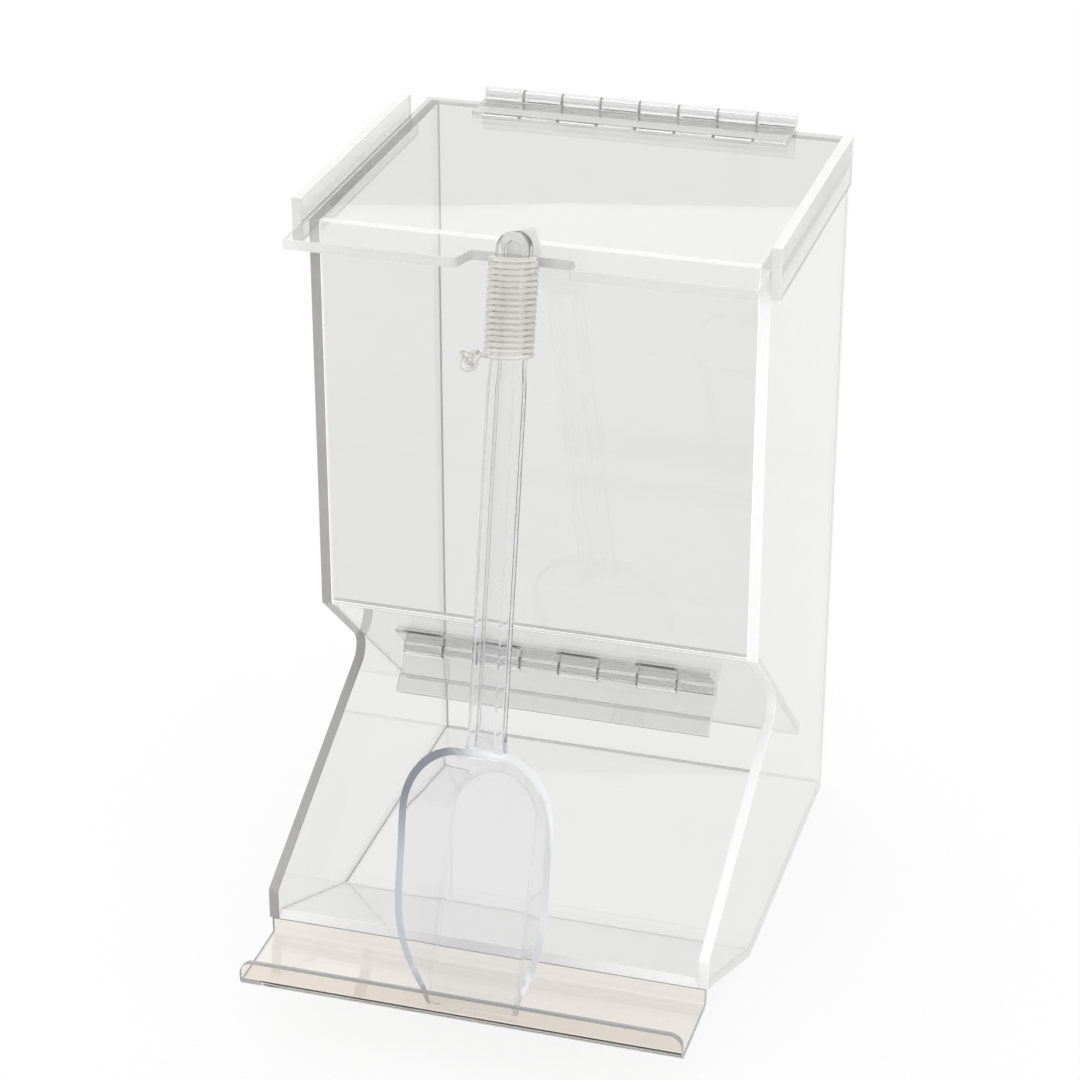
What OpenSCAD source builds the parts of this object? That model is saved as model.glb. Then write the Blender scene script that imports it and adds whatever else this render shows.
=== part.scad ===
// Clear acrylic candy bin: bonded sheet hopper with a sloping baffle, a hinged lid,
// a hinged flap over the trough, a scoop tray in front and a long scoop that leans in the lid's notch.
// Millimetres. X runs across the bin, Y from front to back, Z up. The bin stands on z = 0.

/* [Body] */
// Width over the two side panels
body_width = 203.2; // [180:0.2:230]
// Thickness of the bonded sheets
sheet = 4.6; // [4:0.1:6]
// Height of the open top edge
body_top = 339.5; // [330:0.5:350]
// Depth from the front panel's face to the back panel's face
body_depth = 167.5; // [160:0.5:180]
// Height of the front panel's lower edge
front_edge_z = 157.4; // [150:0.1:165]
// Depth of the neck behind the front panel's face
neck_y = 49.5; // [45:0.5:55]
// Height of the neck
neck_z = 112.5; // [108:0.5:116]
// Length of the sloping baffle along its underside
baffle_length = 139.4; // [130:0.1:142]
// How far the trough stands out in front
trough_reach = 79.5; // [75:0.5:85]
// Height of the trough's lower front corner
trough_low_z = 37.3; // [34:0.1:40]
// Height of the top of the trough's short front edge
trough_high_z = 52; // [48:0.5:56]
// Where the flat floor turns up into the ramp
floor_bend_y = 5; // [0:0.5:10]
// Outside radius of the floor's bend
floor_bend_r = 8; // [7:0.5:10]
// Radius inside the neck corner
neck_r = 8; // [4:0.5:10]

/* [Tray] */
// Thickness of the tray's sheet
tray_sheet = 3; // [2.5:0.1:3.2]
// Half width of the tray
tray_half = 100.4; // [95:0.1:101]
// How far the tray's front stands out
tray_reach = 120.5; // [115:0.5:125]
// Height of the tray's underside
tray_z = 26.9; // [26:0.1:28]
// Height of the tray's front lip over its underside
lip_height = 13; // [11:0.5:15]
// Rounding of the lip's two top corners
lip_corner_r = 6; // [3:0.5:9]

/* [Lid] */
// Gap between the lid and the body's top edge
lid_gap = 0.3; // [0.2:0.05:0.5]
// Side gap between a lid strip and the body
strip_gap = 1; // [0.8:0.1:1.4]
// How far the lid stands out in front
lid_reach = 29.2; // [26:0.1:31]
// Front end of the side strips, measured back from the front panel's face
strip_front_y = -5.5; // [-8:0.5:0]
// Rear end of the side strips
strip_rear_y = 141.4; // [135:0.1:144]
// How far the side strips hang below the body's top edge
strip_drop = 8.5; // [5.5:0.5:11.5]
// How far the side strips stand above the body's top edge
strip_rise = 14.6; // [10.5:0.1:17.5]
// Half width of the handle notch
notch_half = 23; // [18:0.5:25]
// Depth of the handle notch
notch_depth = 11; // [9:0.5:12]

/* [Hinges] */
// Length of both hinges
hinge_length = 150; // [140:1:152]
// Radius of a hinge barrel
barrel_r = 3; // [2.8:0.1:3.2]
// Thickness of a hinge leaf
leaf_thick = 1.5; // [1.3:0.1:1.7]
// Number of knuckles on one hinge
knuckle_count = 8; // [6:2:10]
// Radius of a hinge pin
pin_r = 1.2; // [1:0.05:1.3]
// Distance of the flap's hinge from the front panel's lower edge, down the baffle
flap_hinge_s = 52.5; // [50:0.5:56]
// Length of the flap's leaf from the barrel's centre
flap_leaf = 21.4; // [20:0.1:24]
// Distance of the flap's strip from the barrel's centre
flap_strip_from = 12.7; // [11:0.1:14]

/* [Scoop] */
// Backward lean of the scoop
scoop_tilt = 16.2; // [15.8:0.1:16.2]
// Sideways lean of the scoop
scoop_lean = 1.3; // [0.5:0.1:1.8]
// Length of the scoop from its tip to its rounded end
scoop_length = 338; // [330:1:342]
// Half width of the handle
handle_half = 7.8; // [7.4:0.1:8]
// How far the handle sits to the right of the bowl's middle
handle_shift = 2.1; // [0:0.1:2.5]
// Half width of the bowl at its rim
bowl_half = 34.2; // [32:0.1:36]
// Half width of the bowl's flat floor
bowl_floor_half = 20.5; // [19:0.1:22]
// Height of the rim over the tip
rim_front = 14; // [13:0.5:15]
// Backward slope of the bowl's floor for each unit of length
floor_slope = 0.2; // [0.15:0.01:0.22]

/* [Tether] */
// Thickness of the coiled tether
cord_d = 2.1; // [1.9:0.05:2.1]
// Turns round the handle
cord_turns = 16.46; // [12.46:1:16.46]
// Rise of one turn
cord_pitch = 2.52; // [2.51:0.01:2.56]
// Width of the square tab at the tether's upper end
tab_width = 16; // [13:0.5:17]

/* [Hidden] */
$fn = 48;
half = body_width / 2;
inner_half = half - sheet;
hinge_gap = 0.3;
hinge_y = body_depth + barrel_r + hinge_gap;
lid_under = body_top + lid_gap;
lid_top = lid_under + sheet;
hinge_z = lid_top + hinge_gap + barrel_r;
lid_rear = body_depth - 0.3;
strip_in = half + strip_gap;
y_shift = -(hinge_y + barrel_r - tray_reach) / 2;
lid_leaf_width = 23.3;
body_leaf_width = 19.6;
fixed_leaf_width = 20;
leaf_gap = 0.5;
knuckle_gap = 0.35;
pin_clear = 0.05;
slope = atan2(front_edge_z - neck_z, neck_y);
down = [cos(slope), -sin(slope)];
out = [-sin(slope), -cos(slope)];
b1 = [0, front_edge_z];
flap_axis = b1 + flap_hinge_s * down + (barrel_r + hinge_gap) * out;
ramp_angle = atan2(trough_low_z, trough_reach + floor_bend_y);
tether_r = 9.65;
handle_depth = 7.5;
handle_front = -rim_front;
coil_y = handle_front + handle_depth / 2;
coil_low = 286;
tab_height = 12.3;
tab_thick = 1.5;
tab_turn = 17;
tip = [4.85, -111, tray_z + tray_sheet + 0.3 + bowl_floor_half * sin(scoop_lean)];

function unit(v) = v / norm(v);
function fillet(a, b, c, r, n = 8) =
  let (u = unit(a - b), v = unit(c - b), h = acos(u * v) / 2, q = b + unit(u + v) * r / sin(h))
  let (s = b + u * r / tan(h) - q, e = b + v * r / tan(h) - q, a0 = atan2(s[1], s[0]))
  let (d = (atan2(e[1], e[0]) - a0 + 540) % 360 - 180)
  [for (i = [0:n]) q + r * [cos(a0 + d * i / n), sin(a0 + d * i / n)]];
function bezier(a, b, c, n = 10) =
  [for (i = [0:n]) let (t = i / n) (1 - t) * (1 - t) * a + 2 * t * (1 - t) * b + t * t * c];
function both_sides(list) =
  concat(list, [for (i = [len(list) - 1:-1:0]) [-list[i][0], list[i][1]]]);
// Underside of the ramp at a given depth
function ramp_z(y) = trough_low_z * (floor_bend_y - y) / (trough_reach + floor_bend_y);

// A profile drawn in depth and height, run across the bin from x0 to x1
module across(x0, x1) {
  translate([x0, 0, 0])
    rotate([90, 0, 90])
      linear_extrude(x1 - x0)
        children();
}

module place() {
  translate([0, y_shift, 0])
    children();
}

// The side panel's outline: hopper, neck, trough and ramp in one flat sheet
module side_outline() {
  top_f = [0, body_top];
  neck = [neck_y, neck_z];
  b2 = [-trough_reach, trough_high_z];
  c = [-trough_reach, trough_low_z];
  e = [floor_bend_y, 0];
  rear = [body_depth, 0];
  polygon(concat([top_f], fillet(top_f, b1, neck, 1.5, 3), fillet(b1, neck, b2, neck_r),
    fillet(neck, b2, c, 3, 4), [c], fillet(c, e, rear, floor_bend_r), [rear, [body_depth, body_top]]));
}

module left_side_panel() {
  color([0.9, 0.93, 0.94, 0.35])
    place()
      across(-half, -inner_half)
        side_outline();
}

module right_side_panel() {
  color([0.9, 0.93, 0.94, 0.35])
    place()
      across(inner_half, half)
        side_outline();
}

module front_panel() {
  color([0.9, 0.93, 0.94, 0.35])
    place()
      translate([-inner_half, 0, front_edge_z])
        cube([2 * inner_half, sheet, body_top - front_edge_z]);
}

// A flat sheet that leads the sweets back and down; its upper end sits under the front panel
module baffle_panel() {
  tip_low = b1 + baffle_length * down;
  tip_high = tip_low - sheet * out;
  lift = sheet / cos(slope);
  head = [sheet, front_edge_z + lift - sheet * tan(slope)];
  color([0.9, 0.93, 0.94, 0.35])
    place()
      across(-inner_half, inner_half)
        polygon([b1, tip_low, tip_high, head, [sheet, front_edge_z]]);
}

module back_panel() {
  color([0.9, 0.93, 0.94, 0.35])
    place()
      translate([-inner_half, body_depth - sheet, 0])
        cube([2 * inner_half, sheet, body_top]);
}

// One sheet bent upward: the flat floor and the ramp that ends at the trough's front
module floor_panel() {
  c = [-trough_reach, trough_low_z];
  e = [floor_bend_y, 0];
  rear = [body_depth - sheet, 0];
  up = sheet * [sin(ramp_angle), cos(ramp_angle)];
  e_in = [floor_bend_y + sheet * tan(ramp_angle / 2), sheet];
  color([0.9, 0.93, 0.94, 0.35])
    place()
      across(-inner_half, inner_half)
        polygon(concat([c], fillet(c, e, rear, floor_bend_r), [rear, rear + [0, sheet]],
          fillet(rear + [0, sheet], e_in, c + up, floor_bend_r - sheet), [c + up]));
}

// A thin bent sheet: low rear flange under the ramp, flat floor and a raised front lip
module scoop_tray() {
  f = -tray_reach;
  r = -trough_reach + tray_sheet;
  t = tray_sheet;
  z = tray_z;
  outer_f = fillet([f, z + lip_height], [f, z], [r, z], 1.5 * t, 6);
  outer_r = fillet([f, z], [r, z], [r, z + 10], 1.2 * t, 6);
  inner_f = fillet([r, z + t], [f + t, z + t], [f + t, z + lip_height], 0.5 * t, 4);
  inner_r = fillet([r - t, z + 9], [r - t, z + t], [f, z + t], 0.3 * t, 4);
  color([0.93, 0.92, 0.9, 0.35])
    place()
      difference() {
        across(-tray_half, tray_half)
          polygon(concat([[f, z + lip_height]], outer_f, outer_r,
            [[r, ramp_z(r)], [r - t, ramp_z(r - t)]], inner_r, inner_f, [[f + t, z + lip_height]]));
        for (s = [-1, 1])
          scale([s, 1, 1])
            translate([0, f - 1, 0])
              rotate([90, 0, 0])
                mirror([0, 0, 1])
                  linear_extrude(t + 2)
                    polygon(concat([[tray_half + 1, z + lip_height + 1], [tray_half + 1, z + 2]],
                      [[tray_half, z + 2]],
                      fillet([tray_half, z + 2], [tray_half, z + lip_height],
                        [0, z + lip_height], lip_corner_r, 10), [[80, z + lip_height], [80, z + lip_height + 1]]));
      }
}

// The lid's flat sheet with a handle notch in its front edge
module lid_sheet() {
  f = -lid_reach;
  n = f + notch_depth;
  w = notch_half;
  color([0.93, 0.94, 0.95, 0.35])
    place()
      translate([0, 0, lid_under])
        linear_extrude(sheet)
          polygon(concat([[-strip_in, f]],
            fillet([-strip_in, f], [-w - 3, f], [-w, n], 3, 4), fillet([-w - 3, f], [-w, n], [w, n], 3, 4),
            fillet([-w, n], [w, n], [w, f], 3, 4), fillet([w, n], [w, f], [strip_in, f], 1, 3),
            [[strip_in, f], [strip_in, lid_rear], [-strip_in, lid_rear]]));
}

// Upright strips on the lid's sides: they hang over the body and stand up as a rim
module lid_strip(x0) {
  color([0.93, 0.94, 0.95, 0.35])
    place()
      translate([x0, strip_front_y, body_top - strip_drop])
        cube([sheet, strip_rear_y - strip_front_y, strip_drop + strip_rise]);
}

module lid_left_strip() {
  lid_strip(-strip_in - sheet);
}

module lid_right_strip() {
  lid_strip(strip_in);
}

// Hinge leaf with the axis at the origin: plate below, knuckles at every other place
module hinge_leaf(width, first) {
  pitch = hinge_length / knuckle_count;
  seat = barrel_r + hinge_gap;
  difference() {
    union() {
      translate([-hinge_length / 2, -seat, -width])
        cube([hinge_length, leaf_thick, width - barrel_r - leaf_gap]);
      for (i = [first:2:knuckle_count - 1]) {
        x0 = -hinge_length / 2 + i * pitch + (i > 0 ? knuckle_gap / 2 : 0);
        x1 = -hinge_length / 2 + (i + 1) * pitch - (i < knuckle_count - 1 ? knuckle_gap / 2 : 0);
        translate([x0, -seat, -barrel_r - leaf_gap - 0.1])
          cube([x1 - x0, leaf_thick, barrel_r + leaf_gap + 0.1]);
        translate([x0, 0, 0])
          rotate([0, 90, 0])
            cylinder(r = barrel_r, h = x1 - x0);
      }
    }
    translate([-hinge_length / 2 - 1, 0, 0])
      rotate([0, 90, 0])
        cylinder(r = pin_r + pin_clear, h = hinge_length + 2);
  }
}

module hinge_pin() {
  translate([-hinge_length / 2 + 0.5, 0, 0])
    rotate([0, 90, 0])
      cylinder(r = pin_r, h = hinge_length - 1);
}

module at_lid_hinge() {
  translate([0, hinge_y, hinge_z])
    children();
}

module at_flap_hinge() {
  translate([0, flap_axis[0], flap_axis[1]])
    children();
}

module lid_hinge_body_leaf() {
  color([0.9, 0.93, 0.94, 0.35])
    place()
      at_lid_hinge()
        hinge_leaf(body_leaf_width, 1);
}

module lid_hinge_lid_leaf() {
  color([0.9, 0.93, 0.94, 0.35])
    place()
      at_lid_hinge()
        rotate([-90, 0, 0])
          mirror([0, 1, 0])
            hinge_leaf(lid_leaf_width, 0);
}

module lid_hinge_pin() {
  color([0.93, 0.94, 0.94, 0.5])
    place()
      at_lid_hinge()
        hinge_pin();
}

module flap_hinge_fixed_leaf() {
  color([0.9, 0.93, 0.94, 0.35])
    place()
      at_flap_hinge()
        rotate([270 - slope, 0, 0])
          hinge_leaf(fixed_leaf_width, 0);
}

module flap_hinge_swing_leaf() {
  color([0.9, 0.93, 0.94, 0.35])
    place()
      at_flap_hinge()
        rotate([-slope, 0, 0])
          mirror([0, 1, 0])
            hinge_leaf(flap_leaf, 1);
}

module flap_hinge_pin() {
  color([0.93, 0.94, 0.94, 0.5])
    place()
      at_flap_hinge()
        hinge_pin();
}

// A narrow strip bonded along the lower half of the swinging leaf
module flap_strip() {
  seat = barrel_r + hinge_gap;
  color([0.9, 0.93, 0.94, 0.35])
    place()
      at_flap_hinge()
        rotate([-slope, 0, 0])
          translate([-hinge_length / 2, seat - 2 * leaf_thick, -flap_leaf])
            cube([hinge_length, leaf_thick, flap_leaf - flap_strip_from]);
}

// Scoop frame: tip at the origin, handle up the z axis, the open side of the bowl toward -y
module at_scoop() {
  translate(tip)
    rotate([-scoop_tilt, 0, 0])
      rotate([0, -scoop_lean, 0])
        children();
}

// Rim outline seen from the open side, drawn a given distance inside the edge
module rim_plan(inset, low) {
  w = bowl_half - inset;
  t = bowl_floor_half - inset;
  edge = concat([[t, low]], bezier([t, inset / 3], [w, 22], [w, 52], 8),
    [for (a = [0:9:90]) [10 - inset / 2 + (w - 10 + inset / 2) * cos(a), 88 + (30 - inset) * sin(a)]]);
  polygon(both_sides(edge));
}

module floor_plan(inset, low) {
  w = bowl_floor_half - inset;
  polygon(both_sides(concat([[w, low]], [for (a = [0:9:90]) [w * cos(a), 82 + w * sin(a)]])));
}

// Stands a plan drawn in x and length upright as a thin plate at a given depth
module upright(y, thick) {
  translate([0, y + thick, 0])
    rotate([90, 0, 0])
      linear_extrude(thick)
        children();
}

module sloped(y, thick) {
  translate([0, y, 0])
    rotate([-atan(floor_slope), 0, 0])
      upright(-thick, thick)
        children();
}

module bowl() {
  wall = 3.2;
  base = 2.2;
  difference() {
    hull() {
      upright(handle_front, 0.2)
        rim_plan(0, 0);
      sloped(0, 0.2)
        floor_plan(0, 0);
    }
    hull() {
      upright(handle_front - 1, 0.2)
        rim_plan(wall, -8);
      sloped(-base, 0.2)
        floor_plan(1.6, -8);
    }
    // The rim sweeps down to the thin tip
    translate([-50, 0, 0])
      rotate([90, 0, 90])
        linear_extrude(100)
          polygon(concat([[-40, 60], [-40, -9], [-base, -9]],
            bezier([-base, 0], [handle_front + 0.6, 14], [handle_front, 46], 12), [[-40, 47]]));
  }
}

// Channel handle: two rims and a thin web, closed by a rounded end
module handle_plan(inset, low) {
  w = handle_half - inset;
  e = handle_half - 0.6 - inset;
  top = scoop_length - handle_half + 0.6;
  translate([handle_shift, 0])
    polygon(both_sides(concat([[w, low], [w, 270], [e, 282]],
      [for (a = [0:10:90]) [e * cos(a), top + e * sin(a)]])));
}

module handle() {
  web = 2.2;
  difference() {
    upright(handle_front, handle_depth)
      handle_plan(0, 108);
    upright(handle_front - 1, handle_depth - web + 1)
      handle_plan(4, 121);
    // The web ends at the bowl's back wall
    hull() {
      upright(handle_front - 1, 0.2)
        rim_plan(3.2, -8);
      sloped(-2.2, 0.2)
        floor_plan(1.6, -8);
    }
  }
}

module scoop() {
  color([0.93, 0.95, 0.97, 0.35])
    place()
      at_scoop()
        union() {
          bowl();
          handle();
        }
}

// Centre line of the tether: a close coil up the handle, then a lead to a loose knot at its lower end
coil_steps = 24;
coil_start = 205;
coil_path = [for (i = [0:floor(cord_turns * coil_steps)]) let (a = coil_start + 360 * i / coil_steps)
  [handle_shift + tether_r * cos(a), coil_y + tether_r * sin(a), coil_low + cord_pitch * i / coil_steps]];
knot_at = [-14, coil_y - 2.25, coil_low - 2.5];
knot_size = 1.3;
knot_steps = 66;
knot_path = [for (i = [3:knot_steps - 3]) let (t = 360 * i / knot_steps + 60)
  knot_at + knot_size * [sin(t) + 2.2 * sin(2 * t), -2.4 * sin(3 * t), cos(t) - 2.2 * cos(2 * t)]];
knot_end = knot_path[len(knot_path) - 1];
knot_way = unit(knot_end - knot_path[len(knot_path) - 3]);
coil_way = unit(coil_path[1] - coil_path[0]);
lead_path = [for (i = [1:7]) let (t = i / 8, p0 = knot_end, p1 = knot_end + 3 * knot_way,
  p2 = coil_path[0] - 4 * coil_way, p3 = coil_path[0])
  pow(1 - t, 3) * p0 + 3 * t * pow(1 - t, 2) * p1 + 3 * t * t * (1 - t) * p2 + pow(t, 3) * p3];
tether_path = concat(knot_path, lead_path, coil_path);

function way(path, i) = unit(path[min(i + 1, len(path) - 1)] - path[max(i - 1, 0)]);
function flat(n, t) = unit(n - (n * t) * t);

// A tube with six sides along a path; each ring turns as little as it can from the last
module tube(path, r) {
  n = len(path);
  ways = [for (i = [0:n - 1]) way(path, i)];
  frames = [for (i = 0, f = flat([0.3, 1, 0.2], ways[0]); i < n; i = i + 1,
    f = i < n ? flat(f, ways[i]) : f) f];
  points = [for (i = [0:n - 1]) for (k = [0:5]) let (g = cross(ways[i], frames[i]))
    path[i] + r * (cos(60 * k) * frames[i] + sin(60 * k) * g)];
  sides = [for (i = [0:n - 2]) for (k = [0:5])
    let (a = 6 * i + k, b = 6 * i + (k + 1) % 6) each [[a, b + 6, b], [a, a + 6, b + 6]]];
  last = 6 * (n - 1);
  ends = concat([for (k = [1:4]) [0, k, k + 1]], [for (k = [1:4]) [last, last + k + 1, last + k]]);
  polyhedron(points = points, faces = concat(sides, ends), convexity = 8);
}

// Least gap between strands that are far apart along the path
far = 9;
gaps = [for (i = [0:2:len(tether_path) - 1]) min([for (j = [0:len(tether_path) - 1])
  abs(i - j) > far ? norm(tether_path[i] - tether_path[j]) : 99])];
echo(tether_least_gap = min(gaps) - cord_d);
echo(tether_reach_back = coil_y + tether_r + cord_d / 2, points = len(tether_path));

module tether() {
  color([0.95, 0.95, 0.93, 0.5])
    place()
      at_scoop()
        tube(tether_path, cord_d / 2);
}

// A small square tab bonded to the handle's back, where the tether's upper end is held
module tether_tab() {
  r = 1;
  color([0.95, 0.96, 0.96, 0.4])
    place()
      at_scoop()
        translate([handle_shift + 7.6, handle_front + handle_depth, scoop_length + 2.4])
          rotate([0, -tab_turn, 0])
            upright(0, tab_thick)
              polygon(concat(fillet([-tab_width, -tab_height], [-tab_width, 0], [0, 0], r, 4),
                fillet([-tab_width, 0], [0, 0], [0, -tab_height], r, 4),
                fillet([0, 0], [0, -tab_height], [-tab_width, -tab_height], r, 4),
                fillet([0, -tab_height], [-tab_width, -tab_height], [-tab_width, 0], r, 4)));
}

left_side_panel();
right_side_panel();
front_panel();
baffle_panel();
back_panel();
floor_panel();
scoop_tray();
lid_sheet();
lid_left_strip();
lid_right_strip();
lid_hinge_body_leaf();
lid_hinge_lid_leaf();
lid_hinge_pin();
flap_hinge_fixed_leaf();
flap_hinge_swing_leaf();
flap_hinge_pin();
flap_strip();
scoop();
tether();
tether_tab();
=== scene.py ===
"""A clear sheet-built sweet bin with a hinged lid, a flap, a front tray and a long scoop."""

import logging
import math
from dataclasses import dataclass, field
from enum import Enum
from typing import Any, Callable, Sequence

import bmesh
import bpy
from mathutils import Matrix, Vector

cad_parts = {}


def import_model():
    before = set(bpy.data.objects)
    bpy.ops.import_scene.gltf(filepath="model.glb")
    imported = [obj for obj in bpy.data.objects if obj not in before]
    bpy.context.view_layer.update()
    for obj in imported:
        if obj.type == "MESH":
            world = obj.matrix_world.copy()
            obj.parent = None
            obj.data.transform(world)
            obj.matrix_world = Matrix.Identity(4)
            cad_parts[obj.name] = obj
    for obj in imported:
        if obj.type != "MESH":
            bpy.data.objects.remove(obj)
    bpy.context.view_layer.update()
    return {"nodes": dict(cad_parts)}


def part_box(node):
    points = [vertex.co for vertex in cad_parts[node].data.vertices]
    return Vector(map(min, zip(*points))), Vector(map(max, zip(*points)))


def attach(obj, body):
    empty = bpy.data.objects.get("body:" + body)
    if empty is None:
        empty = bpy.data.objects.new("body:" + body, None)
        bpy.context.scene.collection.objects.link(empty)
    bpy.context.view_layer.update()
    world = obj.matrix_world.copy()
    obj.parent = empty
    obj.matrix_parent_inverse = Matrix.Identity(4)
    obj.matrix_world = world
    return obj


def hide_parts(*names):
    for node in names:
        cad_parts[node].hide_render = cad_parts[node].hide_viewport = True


logging.basicConfig(level=logging.INFO, format="%(message)s")
LOG = logging.getLogger("bin")

MM = 0.001
Point = tuple[float, float, float]


class Slot(Enum):
    """The record's finishes that a piece can take."""

    SHEET = "clear_sheet"
    LID = "lid_sheet"
    TRAY = "tray_sheet"
    HINGE = "clear_hinge"
    PIN = "hinge_pin"
    MOULDING = "clear_moulding"
    CORD = "clear_cord"


class Facing(Enum):
    """The direction square to a sheet's broad faces."""

    X = (1.0, 0.0, 0.0)
    Y = (0.0, 1.0, 0.0)
    Z = (0.0, 0.0, 1.0)


def linear(hex_colour: str) -> tuple[float, float, float, float]:
    """Turn an sRGB hex colour into linear values.

    Args:
        hex_colour: Six hex digits, with or without a leading hash.

    Returns:
        Linear red, green and blue, and an alpha of one.
    """
    text = hex_colour.lstrip("#")
    parts = [int(text[i:i + 2], 16) / 255.0 for i in (0, 2, 4)]
    turned = [p / 12.92 if p <= 0.04045 else ((p + 0.055) / 1.055) ** 2.4 for p in parts]
    return (turned[0], turned[1], turned[2], 1.0)


def add_node(tree: bpy.types.NodeTree, kind: str, links: dict[Any, Any] | None = None,
             **settings: Any) -> bpy.types.Node:
    """Add one node with its settings, socket values and incoming links.

    Args:
        tree: The tree that gets the node.
        kind: The node's Blender type name.
        links: Input name or number to a socket, or to a plain value.
        settings: Properties of the node itself.

    Returns:
        The new node.
    """
    node = tree.nodes.new(kind)
    for name, value in settings.items():
        setattr(node, name, value)
    for key, value in (links or {}).items():
        socket = node.inputs[key]
        if isinstance(value, bpy.types.NodeSocket):
            tree.links.new(value, socket)
        else:
            socket.default_value = value
    return node


def new_material(name: str) -> tuple[bpy.types.Material, bpy.types.NodeTree]:
    """Make an empty node material.

    Args:
        name: The material's name.

    Returns:
        The material and its empty tree.
    """
    material = bpy.data.materials.new(name)
    material.use_nodes = True
    material.node_tree.nodes.clear()
    return material, material.node_tree


@dataclass(frozen=True)
class ClearFace:
    """The polished face of a clear plastic.

    Attributes:
        name: What the stuff is and how it was made.
        tint: Colour that light picks up on its way through, as sRGB hex.
        ior: Index of refraction.
        roughness: Roughness of the polish.
        haze: How much rougher the dull patches are.
        wave_mm: Wavelength of the faint waviness, in millimetres.
        wave_depth: Strength of that waviness.
        stretch: How many times longer the waves are along the length than across.
        clear: How much of the light goes straight through, one for water-clear stuff.
        milk: How much of the light the stuff scatters on its way through.
    """

    name: str
    tint: str = "#F1F1F0"
    ior: float = 1.49
    roughness: float = 0.01
    haze: float = 0.02
    wave_mm: float = 60.0
    wave_depth: float = 0.02
    stretch: float = 1.0
    clear: float = 1.0
    milk: float = 0.0

    def make(self) -> bpy.types.Material:
        """Build the node material.

        Returns:
            The material.
        """
        material, tree = new_material(self.name)
        place = add_node(tree, "ShaderNodeTexCoord")
        drawn = add_node(tree, "ShaderNodeMapping", {"Vector": place.outputs["Object"],
                                                     "Scale": (1.0, 1.0, 1.0 / self.stretch)})
        wave = add_node(tree, "ShaderNodeTexNoise",
                        {"Vector": drawn.outputs["Vector"], "Scale": 1000.0 / self.wave_mm, "Detail": 1.0})
        bump = add_node(tree, "ShaderNodeBump",
                        {"Height": wave.outputs["Fac"], "Strength": self.wave_depth, "Distance": 0.002})
        dull = add_node(tree, "ShaderNodeTexNoise",
                        {"Vector": place.outputs["Object"], "Scale": 70.0, "Detail": 3.0})
        rough = add_node(tree, "ShaderNodeMapRange",
                         {"Value": dull.outputs["Fac"], "From Min": 0.45, "From Max": 0.75,
                          "To Min": self.roughness, "To Max": self.roughness + self.haze})
        shader = add_node(tree, "ShaderNodeBsdfPrincipled",
                          {"Base Color": linear(self.tint), "Roughness": rough.outputs["Result"],
                           "IOR": self.ior, "Transmission Weight": self.clear, "Normal": bump.outputs["Normal"]})
        skin = shader.outputs["BSDF"]
        if self.milk:
            scatter = add_node(tree, "ShaderNodeBsdfTranslucent", {"Color": linear(self.tint)})
            milky = add_node(tree, "ShaderNodeMixShader", {"Fac": self.milk, 1: skin, 2: scatter.outputs["BSDF"]})
            skin = milky.outputs["Shader"]
        add_node(tree, "ShaderNodeOutputMaterial", {"Surface": skin})
        return material


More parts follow.
